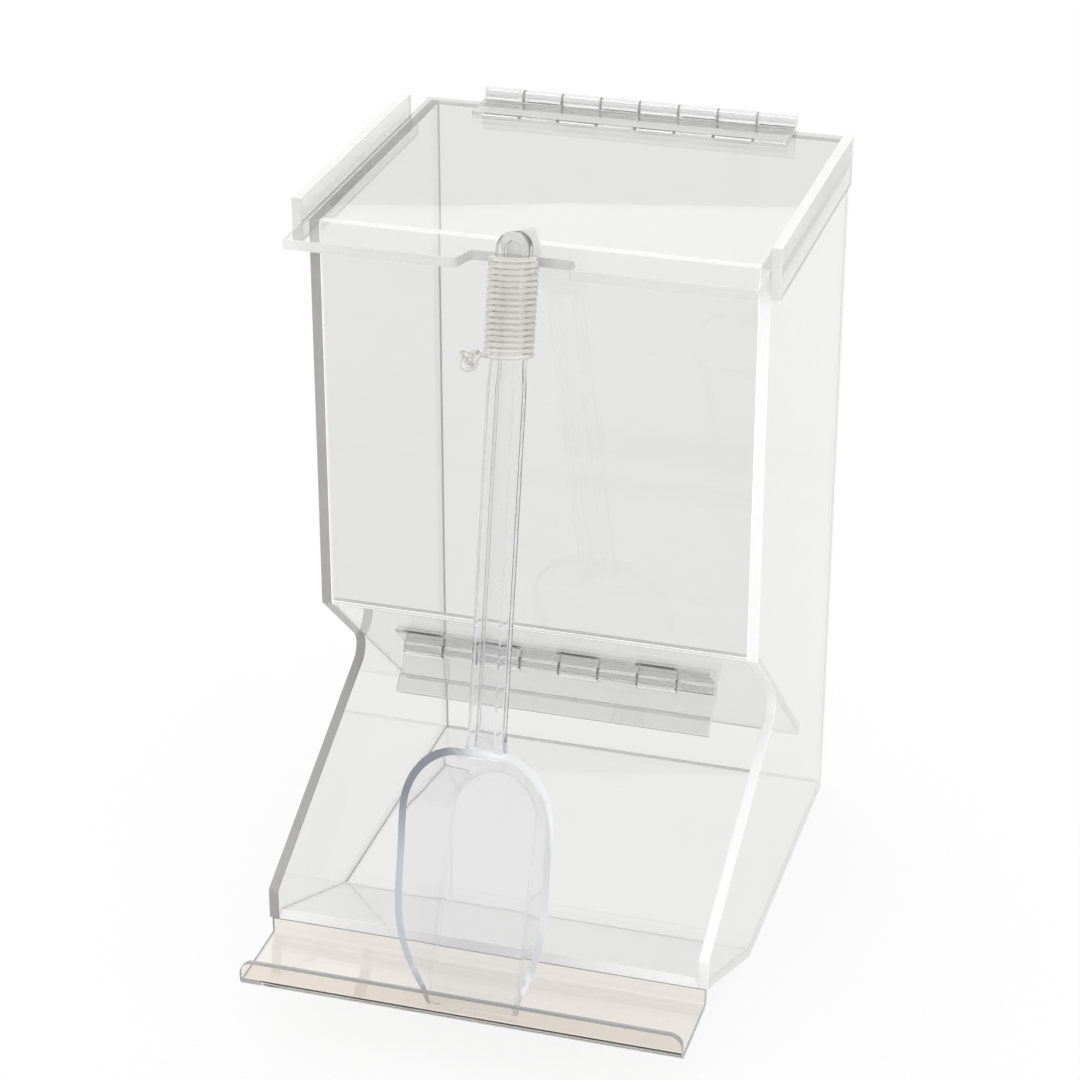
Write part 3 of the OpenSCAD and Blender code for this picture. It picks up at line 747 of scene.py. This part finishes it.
@dataclass
class Scoop:
    """The moulded scoop: a flat-floored bowl and a channel handle with a round end.

    Attributes:
        tip: The tip's middle in the part's frame.
        tilt_deg: Backward lean.
        lean_deg: Sideways lean.
        rim_y: Height of the rim over the tip, toward the open side.
        rim_half: Half width at the rim.
        floor_half: Half width of the flat floor.
        slope: Backward slope of the floor for each unit of length.
        wall: Thickness of the wall at the rim.
        base: Thickness of the floor.
        handle_half: Half width of the handle.
        handle_shift: How far the handle sits to the right.
        handle_depth: Depth of the handle.
        length: Length from the tip to the round end.
    """

    tip: Point = (4.85, -137.65, 30.2 + 20.5 * math.sin(math.radians(1.3)))
    tilt_deg: float = 16.2
    lean_deg: float = 1.3
    rim_y: float = -14.0
    rim_half: float = 34.2
    floor_half: float = 20.5
    slope: float = 0.2
    wall: float = 3.2
    base: float = 2.2
    handle_half: float = 7.8
    handle_shift: float = 2.1
    handle_depth: float = 7.5
    length: float = 338.0

    def place(self) -> Matrix:
        """Placement of the scoop's own frame: handle up Z, open side toward -Y."""
        return (Matrix.Translation(Vector(self.tip) * MM)
                @ Matrix.Rotation(math.radians(-self.tilt_deg), 4, "X")
                @ Matrix.Rotation(math.radians(-self.lean_deg), 4, "Y"))

    def rim_point(self, u: float, inset: float) -> tuple[float, float]:
        """Half width and length of the rim's outline.

        Args:
            u: 0 at the tip, 1 where the straight side begins, 2 at the shoulder, 3 near the top, 4 in the middle.
            inset: Distance inside the edge.

        Returns:
            The half width and the length from the tip.
        """
        w, t = self.rim_half - inset, self.floor_half - inset
        if u <= 1:
            a, b, c = (t, inset / 3), (w, 22.0), (w, 52.0)
            return tuple((1 - u) ** 2 * a[i] + 2 * u * (1 - u) * b[i] + u * u * c[i] for i in (0, 1))
        if u <= 2:
            return w, 52.0 + 36.0 * (u - 1)
        flat = 10 - inset / 2
        if u <= 3:
            a = math.radians(90 * (u - 2))
            return flat + (w - flat) * math.cos(a), 88 + (30 - inset) * math.sin(a)
        return flat * (4 - u), 118 - inset

    def floor_point(self, u: float, inset: float) -> tuple[float, float]:
        """Half width and length of the floor's outline at the same place along the rim."""
        w = self.floor_half - inset
        if u <= 1:
            return w, 50.0 * (2 * u * (1 - u) * 22 / 52 + u * u)
        if u <= 2:
            return w, 50.0 + 32.0 * (u - 1)
        turn = 70 * (u - 2) if u <= 3 else 70 + 20 * (u - 3)
        a = math.radians(turn)
        return w * math.cos(a), 82 + w * math.sin(a)

    def sweep(self, s: float) -> float:
        """Depth of the rim's line at a distance from the tip: it runs down to the thin tip."""
        if s >= 46:
            return self.rim_y
        lo, hi = 0.0, 1.0
        for _ in range(30):
            mid = (lo + hi) / 2
            at = 2 * mid * (1 - mid) * 14 + mid * mid * 46
            lo, hi = (mid, hi) if at < s else (lo, mid)
        return (1 - lo) ** 2 * -self.base + 2 * lo * (1 - lo) * (self.rim_y + 0.6) + lo * lo * self.rim_y

    def chain(self, u: float, inset: float, floor_inset: float, raise_by: float) -> list[Point]:
        """Points down the wall from the rim to the floor's edge, and on toward the middle.

        Args:
            u: Place along the rim.
            inset: Distance inside the rim's outline.
            floor_inset: Distance inside the floor's outline.
            raise_by: Height over the floor's underside.

        Returns:
            Points with x positive, for one side.
        """
        rx, rs = self.rim_point(u, inset)
        fx, fs = self.floor_point(u, floor_inset)
        fy = self.slope * fs - raise_by
        top = 1.0
        for i in range(1, 201):
            k = i / 200
            s = fs + (rs - fs) * k
            if fy + (self.rim_y - fy) * k < self.sweep(max(s, 0.0)):
                top = max(k - 1 / 200, 0.0)
                break
        points = []
        for k in (1.0, 0.97, 0.8, 0.6, 0.4, 0.2, 0.07):
            j = k * top
            points.append((fx + (rx - fx) * j, fy + (self.rim_y - fy) * j, fs + (rs - fs) * j))
        ease = 0.35 if top > 0.2 else 0.35 * top / 0.2
        points.append((fx - ease * 0.6, fy - ease * 0.6, fs))
        for k in (0.93, 0.66, 0.33, 0.0):
            points.append((fx * k, fy, fs))
        return points

    def bowl(self) -> bmesh.types.BMesh:
        """Build the bowl as one closed shell.

        Returns:
            The bowl in the scoop's own frame.
        """
        stops = [i / 14 for i in range(14)] + [1 + i / 5 for i in range(5)] + [2 + i / 16 for i in range(16)]
        stops += [3 + i / 4 for i in range(5)]
        bm = bmesh.new()
        skins = []
        for inset, floor_inset, raise_by in ((0.0, 0.0, 0.0), (self.wall, 1.6, self.base)):
            rows = []
            for u in stops:
                half = self.chain(u, inset, floor_inset, raise_by)
                if u == stops[-1]:
                    line = [bm.verts.new(Vector((0.0, y, s)) * MM) for _, y, s in half[:8]]
                    rows.append(line + [line[-1]] * 8 + line[:-1][::-1])
                    continue
                right = [bm.verts.new(Vector((x, y, s)) * MM) for x, y, s in half]
                left = [bm.verts.new(Vector((-x, y, s)) * MM) for x, y, s in half[:-1]]
                rows.append(right + left[::-1])
            skins.append(rows)
        for rows in skins:
            for a, b in zip(rows, rows[1:]):
                for j in range(len(a) - 1):
                    ring = []
                    for v in (a[j], a[j + 1], b[j + 1], b[j]):
                        if v not in ring:
                            ring.append(v)
                    if len(ring) > 2:
                        bm.faces.new(ring)
        outer, inner = skins
        rim = []
        for row_o, row_i in zip(outer, inner):
            for side in (0, -1):
                a, b = row_o[side].co, row_i[side].co
                rim.append((side, bm.verts.new((a + b) / 2 + Vector((0, -0.25 * MM, 0)))))
        crown = {0: [v for side, v in rim if side == 0], -1: [v for side, v in rim if side == -1]}
        bm.verts.remove(crown[-1][-1])
        crown[-1][-1] = crown[0][-1]
        for side in (0, -1):
            for k in range(len(outer) - 1):
                for near, far in ((outer, None), (None, inner)):
                    a0 = near[k][side] if near else crown[side][k]
                    a1 = near[k + 1][side] if near else crown[side][k + 1]
                    b0 = far[k][side] if far else crown[side][k]
                    b1 = far[k + 1][side] if far else crown[side][k + 1]
                    bm.faces.new((a0, a1, b1, b0)).material_index = 1
        tip_o, tip_i = outer[0], inner[0]
        for j in range(len(tip_o) - 1):
            bm.faces.new((tip_o[j], tip_o[j + 1], tip_i[j + 1], tip_i[j]))
        for side in (0, -1):
            bm.faces.new((tip_o[side], crown[side][0], tip_i[side]))
        bmesh.ops.recalc_face_normals(bm, faces=bm.faces[:])
        return bm

    def handle(self) -> bmesh.types.BMesh:
        """Build the channel handle as one closed form.

        Returns:
            The handle in the scoop's own frame.
        """
        front, back = self.rim_y, self.rim_y + self.handle_depth
        end_half = self.handle_half - 0.6
        top = self.length - end_half
        levels = [116.4, 118.0, 119.5, 121.0, 122.5, 124.0, 126.0, 128.0, 131.0, 136.0, 145.0, 180.0, 225.0, 270.0,
                  274.0, 278.0, 282.0, 300.0, 318.0]
        levels += [top + end_half * math.sin(math.radians(a)) for a in range(0, 90, 6)]
        levels += [top + end_half * math.sin(math.radians(a)) for a in (87, 89.3)]

        def half_at(s: float) -> float:
            """Half width at a height."""
            if s < 128:
                return self.handle_half + 1.2 * ((128 - s) / 12) ** 2
            if s <= 270:
                return self.handle_half
            if s <= 282:
                return self.handle_half - 0.6 * (s - 270) / 12
            return end_half if s <= top else math.sqrt(max(end_half ** 2 - (s - top) ** 2, 0.0))

        def channel_at(s: float) -> tuple[float, float]:
            """Half width and depth of the channel at a height."""
            rise = min(max((s - 119.0) / 5.0, 0.0), 1.0)
            half = max(half_at(s) - 4.0, 0.3) if s < 128 else self.handle_half - 4.0
            if s > 276:
                half = end_half - 4.0
            inner = end_half - 4.0
            if s > top:
                left = inner ** 2 - (s - top) ** 2
                half = math.sqrt(left) if left > 0 else 0.0
                if half < 0.8:
                    rise = 0.0
                    half = min(0.8, 0.45 * half_at(s))
            return half, rise * (self.handle_depth - 2.2)

        bm = bmesh.new()
        rows = []
        for s in levels:
            w = half_at(s)
            c, d = channel_at(s)
            r = min(0.7, 0.3 * w)
            q = min(0.4, 0.3 * max(w - c, 0.01), 0.4 * c)
            k = 0.29
            side = [(w - r, back), (w - k * r, back - k * r), (w, back - r), (w, front + r),
                    (w - k * r, front + k * r), (w - r, front), (c + q, front), (c + k * q, front + k * min(q, d)),
                    (c, front + min(q, d)), (c, front + max(d - q, 0.0)), (c - k * q, front + d - k * min(q, d)),
                    (c - q, front + d)]
            ring = [(x, y) for x, y in side] + [(-x, y) for x, y in side[::-1]]
            lean = 0.0
            row = []
            for x, y in ring:
                lean = -(y - front) * 0.37 if s < 117 else -(y - front) * 0.37 * max(0.0, (121 - s) / 4) \
                    if s < 121 else 0.0
                row.append(bm.verts.new(Vector((x + self.handle_shift, y, s + lean)) * MM))
            rows.append(row)
        for a, b in zip(rows, rows[1:]):
            n = len(a)
            for j in range(n):
                k = (j + 1) % n
                bm.faces.new((a[j], a[k], b[k], b[j]))
        bm.faces.new(rows[0])
        bm.faces.new(rows[-1][::-1])
        bmesh.ops.recalc_face_normals(bm, faces=bm.faces[:])
        return bm

    def build(self, shop: Workshop) -> None:
        """Join bowl and handle into one moulding and put it in place."""
        finishes = [shop.get(MOULD_FACE), shop.get(EDGE_RIM)]
        bowl = from_bmesh(self.bowl(), "bowl", finishes, 40.0, False)
        handle = from_bmesh(self.handle(), "handle", finishes, 40.0, False)
        join = bowl.modifiers.new("join", "BOOLEAN")
        join.operation = "UNION"
        join.solver = "EXACT"
        join.object = handle
        plain = read_mesh(bowl, "scoop_joined")
        bpy.data.objects.remove(handle, do_unlink=True)
        bm = bmesh.new()
        bm.from_mesh(plain.data)
        bpy.data.objects.remove(plain, do_unlink=True)
        bmesh.ops.remove_doubles(bm, verts=bm.verts[:], dist=5e-6)
        bmesh.ops.transform(bm, matrix=self.place(), verts=bm.verts[:])
        settle(from_bmesh(bm, "scoop_moulding", finishes, 38.0), "scoop", ["scoop"])


@dataclass
class Tether:
    """The clear cord wound round the handle, its knot, and the square tab that holds its upper end.

    Attributes:
        scoop: The scoop that carries it.
        cord: Thickness of the cord.
        coil_r: Radius of the coil's middle line.
        turns: Number of turns.
        pitch: Rise of one turn.
        low: Height of the lowest turn in the scoop's frame.
        start_deg: Angle of the coil's lower end.
        knot: Middle of the knot.
        knot_size: Scale of the knot.
        steps: Points for each turn.
    """

    scoop: Scoop
    cord: float = 2.1
    coil_r: float = 9.65
    turns: float = 16.46
    pitch: float = 2.52
    low: float = 286.0
    start_deg: float = 205.0
    knot: Point = (-14.0, -12.5, 283.5)
    knot_size: float = 1.3
    steps: int = 24

    def path(self) -> list[Vector]:
        """Lay the cord's middle line from the tab down to the knot.

        Returns:
            Points in the part's frame, in metres.
        """
        middle = self.scoop.rim_y + self.scoop.handle_depth / 2
        coil = []
        for i in range(int(self.turns * self.steps) + 1):
            a = math.radians(self.start_deg + 360 * i / self.steps)
            coil.append(Vector((self.scoop.handle_shift + self.coil_r * math.cos(a),
                                middle + self.coil_r * math.sin(a), self.low + self.pitch * i / self.steps)))
        knot = []
        for i in range(3, 64):
            t = math.radians(360 * i / 66 + 60)
            knot.append(Vector(self.knot) + self.knot_size * Vector(
                (math.sin(t) + 2.2 * math.sin(2 * t), -2.4 * math.sin(3 * t), math.cos(t) - 2.2 * math.cos(2 * t))))
        p0, p3 = knot[-1], coil[0]
        p1 = p0 + 3 * (knot[-1] - knot[-3]).normalized()
        p2 = p3 - 4 * (coil[1] - coil[0]).normalized()
        lead = [(1 - t) ** 3 * p0 + 3 * t * (1 - t) ** 2 * p1 + 3 * t * t * (1 - t) * p2 + t ** 3 * p3
                for t in (i / 8 for i in range(1, 8))]
        place = self.scoop.place()
        return [place @ (p * MM) for p in (knot + lead + coil)[::-1]]

    def tree(self) -> bpy.types.NodeTree:
        """Build the node tree that draws a round cord along a line.

        Returns:
            The tree, with the inputs Radius, Sides, Spacing and Finish.
        """
        tree = bpy.data.node_groups.new("cord_along_line", "GeometryNodeTree")
        made = tree.interface.new_socket
        made(name="Geometry", in_out="INPUT", socket_type="NodeSocketGeometry")
        made(name="Radius", in_out="INPUT", socket_type="NodeSocketFloat")
        made(name="Sides", in_out="INPUT", socket_type="NodeSocketInt")
        made(name="Spacing", in_out="INPUT", socket_type="NodeSocketFloat")
        made(name="Finish", in_out="INPUT", socket_type="NodeSocketMaterial")
        made(name="Geometry", in_out="OUTPUT", socket_type="NodeSocketGeometry")
        given = add_node(tree, "NodeGroupInput")
        line = add_node(tree, "GeometryNodeMeshToCurve", {"Mesh": given.outputs["Geometry"]})
        smooth = add_node(tree, "GeometryNodeCurveSplineType", {"Curve": line.outputs[0]},
                          spline_type="CATMULL_ROM")
        even = add_node(tree, "GeometryNodeResampleCurve",
                        {"Curve": smooth.outputs[0], "Length": given.outputs["Spacing"]}, mode="LENGTH")
        ring = add_node(tree, "GeometryNodeCurvePrimitiveCircle",
                        {"Resolution": given.outputs["Sides"], "Radius": given.outputs["Radius"]})
        tube = add_node(tree, "GeometryNodeCurveToMesh",
                        {"Curve": even.outputs[0], "Profile Curve": ring.outputs[0], "Fill Caps": True})
        soft = add_node(tree, "GeometryNodeSetShadeSmooth", {"Geometry": tube.outputs[0]})
        real = add_node(tree, "GeometryNodeRealizeInstances", {"Geometry": soft.outputs[0]})
        dress = add_node(tree, "GeometryNodeSetMaterial",
                         {"Geometry": real.outputs[0], "Material": given.outputs["Finish"]})
        add_node(tree, "NodeGroupOutput", {"Geometry": dress.outputs[0]})
        return tree

    def build(self, nodes: dict[str, bpy.types.Object], shop: Workshop) -> None:
        points = self.path()
        mesh = bpy.data.meshes.new("tether_line")
        mesh.from_pydata([tuple(p) for p in points], [(i, i + 1) for i in range(len(points) - 1)], [])
        obj = bpy.data.objects.new("tether_line", mesh)
        bpy.context.collection.objects.link(obj)
        tree = self.tree()
        modifier = obj.modifiers.new("cord", "NODES")
        modifier.node_group = tree
        values = {"Radius": self.cord / 2 * MM, "Sides": 16, "Spacing": 0.7 * MM,
                  "Finish": shop.get(CORD_FACE)}
        for item in tree.interface.items_tree:
            if item.item_type == "SOCKET" and item.in_out == "INPUT" and item.name in values:
                modifier[item.identifier] = values[item.name]
        cord = read_mesh(obj, "tether_cord")
        settle(cord, "scoop", ["tether"])
        place = self.scoop.place()
        thin = place.to_3x3() @ Vector((0.0, 1.0, 0.0))
        CutSheet("tether_tab", "scoop", TAB_FACE, EDGE_PALE, Slot.CORD, across(thin), ease_mm=0.2).build(nodes, shop)


@dataclass
class Studio:
    """Floor, lamps and camera at the photograph's viewing angle.

    Attributes:
        azimuth: Camera angle to the right of the bin's front, in degrees.
        elevation: Camera angle above the horizon, in degrees.
        distance_mm: Distance from the aimed point.
        focal_px: Focal length in pixels of the 1080 pixel frame.
        aim_mm: The aimed point in the part's frame.
        daylight: Strength of the even light from all sides.
    """

    azimuth: float = 16.4854
    elevation: float = 26.4622
    distance_mm: float = 1454.86
    focal_px: float = 3144.1
    aim_mm: Point = (-15.83, 33.35, 172.53)
    daylight: float = 0.95

    def camera(self) -> None:
        """Create the camera and make it the scene's camera."""
        az, el = math.radians(self.azimuth), math.radians(self.elevation)
        away = Vector((math.sin(az) * math.cos(el), -math.cos(az) * math.cos(el), math.sin(el)))
        data = bpy.data.cameras.new("camera")
        data.sensor_width = 36.0
        data.lens = self.focal_px / 1080.0 * 36.0
        data.clip_end = 100.0
        eye = bpy.data.objects.new("camera", data)
        bpy.context.collection.objects.link(eye)
        eye.location = Vector(self.aim_mm) * MM + away * self.distance_mm * MM
        eye.rotation_euler = away.to_track_quat("Z", "Y").to_euler()
        bpy.context.scene.camera = eye

    def seen(self, tree: bpy.types.NodeTree) -> bpy.types.NodeSocket:
        """Factor that is 1 where the camera, a reflection or clear plastic looks at the background."""
        path = add_node(tree, "ShaderNodeLightPath")
        glossy = add_node(tree, "ShaderNodeMath",
                          {0: path.outputs["Is Glossy Ray"], 1: path.outputs["Is Transmission Ray"]},
                          operation="MAXIMUM")
        any_ray = add_node(tree, "ShaderNodeMath", {0: path.outputs["Is Camera Ray"], 1: glossy.outputs[0]},
                           operation="MAXIMUM")
        return any_ray.outputs[0]

    def world(self) -> None:
        """Light the scene evenly from a pale world that shows as white."""
        world = bpy.data.worlds.new("white_studio")
        bpy.context.scene.world = world
        world.use_nodes = True
        tree = world.node_tree
        tree.nodes.clear()
        lit = add_node(tree, "ShaderNodeBackground", {"Color": linear("#FFFFFF"), "Strength": self.daylight})
        white = add_node(tree, "ShaderNodeBackground", {"Color": linear("#FFFFFF"), "Strength": 1.0})
        mix = add_node(tree, "ShaderNodeMixShader", {"Fac": self.seen(tree), 1: lit.outputs[0], 2: white.outputs[0]})
        add_node(tree, "ShaderNodeOutputWorld", {"Surface": mix.outputs[0]})

    def floor(self) -> None:
        """Lay a pale floor that keeps the bin's shadow."""
        mesh = bpy.data.meshes.new("floor")
        reach = 3.0
        mesh.from_pydata([(-reach, -reach, 0), (reach, -reach, 0), (reach, reach, 0), (-reach, reach, 0)],
                         [], [(0, 1, 2, 3)])
        floor = bpy.data.objects.new("floor", mesh)
        bpy.context.collection.objects.link(floor)
        material, tree = new_material("painted_board_floor")
        board = add_node(tree, "ShaderNodeBsdfDiffuse", {"Color": linear("#F4F4F4")})
        glow = add_node(tree, "ShaderNodeEmission", {"Color": linear("#FFFFFF"), "Strength": 1.0})
        part = add_node(tree, "ShaderNodeMath", {0: self.seen(tree), 1: 0.85}, operation="MULTIPLY")
        mix = add_node(tree, "ShaderNodeMixShader", {"Fac": part.outputs[0], 1: board.outputs[0], 2: glow.outputs[0]})
        add_node(tree, "ShaderNodeOutputMaterial", {"Surface": mix.outputs[0]})
        mesh.materials.append(material)

    def lamp(self, name: str, where: Point, aim: Point, width: float, height: float, power: float) -> None:
        """Hang one soft lamp.

        Args:
            name: The lamp's name.
            where: Its middle, in metres.
            aim: The point it faces.
            width: Its width.
            height: Its height.
            power: Its power in watts.
        """
        data = bpy.data.lights.new(name, "AREA")
        data.shape = "RECTANGLE"
        data.size = width
        data.size_y = height
        data.energy = power
        lamp = bpy.data.objects.new(name, data)
        bpy.context.collection.objects.link(lamp)
        lamp.location = where
        lamp.rotation_euler = (Vector(where) - Vector(aim)).to_track_quat("Z", "Y").to_euler()

    def lamps(self) -> None:
        """Hang the lamps: one overhead, one at the right, and one behind that the lid's front mirrors."""
        self.lamp("overhead", (0.1, -0.3, 1.7), (0.0, 0.0, 0.2), 1.2, 1.2, 3.0)
        self.lamp("right_front", (1.3, -1.0, 0.9), (0.0, 0.0, 0.2), 0.8, 0.8, 3.0)
        for number, tall in enumerate((0.955, 0.935, 0.915, 0.895, 0.875)):
            self.lamp(f"rear_softbox_{number}", (-0.5, 1.45, 1.4), (-0.1, 0.0, 0.35), 2.4, tall, 3.4 * tall)

    def build(self) -> None:
        """Set the whole studio."""
        self.camera()
        self.world()
        self.floor()
        self.lamps()


def main() -> None:
    """Build the bin and its studio."""
    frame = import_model()
    bpy.context.scene.view_settings.view_transform = "Standard"
    nodes = frame["nodes"]
    shop = Workshop()
    Studio().build()
    BinBody().build(nodes, shop)
    Lid().build(nodes, shop)
    Hinges().build(nodes, shop)
    scoop = Scoop()
    scoop.build(shop)
    Tether(scoop).build(nodes, shop)


if __name__ == "__main__":
    main()
